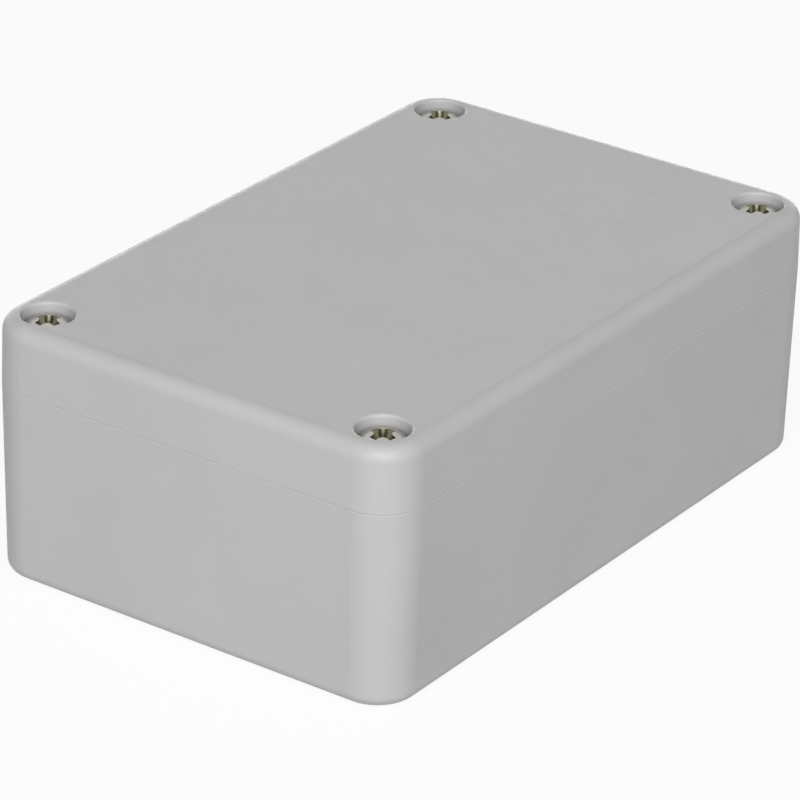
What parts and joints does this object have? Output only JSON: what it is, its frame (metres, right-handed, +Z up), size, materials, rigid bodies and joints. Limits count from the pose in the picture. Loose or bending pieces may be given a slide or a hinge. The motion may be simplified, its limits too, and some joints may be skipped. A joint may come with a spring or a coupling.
{
  "type": "plastic project box",
  "caption": "Sealed rectangular plastic project box with a screwed lid, a gasket in a tongue and groove, captive screws and wall-mount holes under the lid.",
  "frame": {"origin": "centre of the underside", "axes": "+X along the box's length, +Y across it, +Z up through the lid"},
  "size_m": [0.098, 0.064, 0.036],
  "materials": {
    "housing_plastic": "fine satin moulded texture, light grey",
    "gasket_rubber": "soft matt black",
    "screw_steel": "bright, lightly turned",
    "washer_nylon": "natural white, slightly translucent",
    "insert_brass": "turned and knurled"
  },
  "bodies": {
    "base": {"base": "housing_plastic", "threaded_insert_front_left": "insert_brass", "threaded_insert_front_right": "insert_brass", "threaded_insert_back_right": "insert_brass", "threaded_insert_back_left": "insert_brass"},
    "lid": {"lid": "housing_plastic", "gasket": "gasket_rubber"},
    "retaining_washer_front_left": {"retaining_washer_front_left": "washer_nylon"},
    "lid_screw_front_left": {"lid_screw_front_left": "screw_steel"},
    "retaining_washer_front_right": {"retaining_washer_front_right": "washer_nylon"},
    "lid_screw_front_right": {"lid_screw_front_right": "screw_steel"},
    "retaining_washer_back_right": {"retaining_washer_back_right": "washer_nylon"},
    "lid_screw_back_right": {"lid_screw_back_right": "screw_steel"},
    "retaining_washer_back_left": {"retaining_washer_back_left": "washer_nylon"},
    "lid_screw_back_left": {"lid_screw_back_left": "screw_steel"}
  },
  "joints": [
    {"name": "lid_lift", "type": "slide", "parent": "base", "child": "lid", "axis": [0, 0, 1], "range_m": [0, 0.07]},
    {"name": "washer_rise_front_left", "type": "slide", "parent": "lid", "child": "retaining_washer_front_left", "axis": [0, 0, 1], "range_m": [0, 0.0056]},
    {"name": "screw_turn_front_left", "type": "hinge", "parent": "retaining_washer_front_left", "child": "lid_screw_front_left", "pos_m": [-0.043, -0.026, 0.02], "axis": [0, 0, 1], "range_deg": [0, 2880]},
    {"name": "washer_rise_front_right", "type": "slide", "parent": "lid", "child": "retaining_washer_front_right", "axis": [0, 0, 1], "range_m": [0, 0.0056]},
    {"name": "screw_turn_front_right", "type": "hinge", "parent": "retaining_washer_front_right", "child": "lid_screw_front_right", "pos_m": [0.043, -0.026, 0.02], "axis": [0, 0, 1], "range_deg": [0, 2880]},
    {"name": "washer_rise_back_right", "type": "slide", "parent": "lid", "child": "retaining_washer_back_right", "axis": [0, 0, 1], "range_m": [0, 0.0056]},
    {"name": "screw_turn_back_right", "type": "hinge", "parent": "retaining_washer_back_right", "child": "lid_screw_back_right", "pos_m": [0.043, 0.026, 0.02], "axis": [0, 0, 1], "range_deg": [0, 2880]},
    {"name": "washer_rise_back_left", "type": "slide", "parent": "lid", "child": "retaining_washer_back_left", "axis": [0, 0, 1], "range_m": [0, 0.0056]},
    {"name": "screw_turn_back_left", "type": "hinge", "parent": "retaining_washer_back_left", "child": "lid_screw_back_left", "pos_m": [-0.043, 0.026, 0.02], "axis": [0, 0, 1], "range_deg": [0, 2880]}
  ],
  "couplings": [
    {"joint": "screw_turn_front_left", "follows": "washer_rise_front_left", "rad_per_m": 8976},
    {"joint": "screw_turn_front_right", "follows": "washer_rise_front_right", "rad_per_m": 8976},
    {"joint": "screw_turn_back_right", "follows": "washer_rise_back_right", "rad_per_m": 8976},
    {"joint": "screw_turn_back_left", "follows": "washer_rise_back_left", "rad_per_m": 8976}
  ]
}
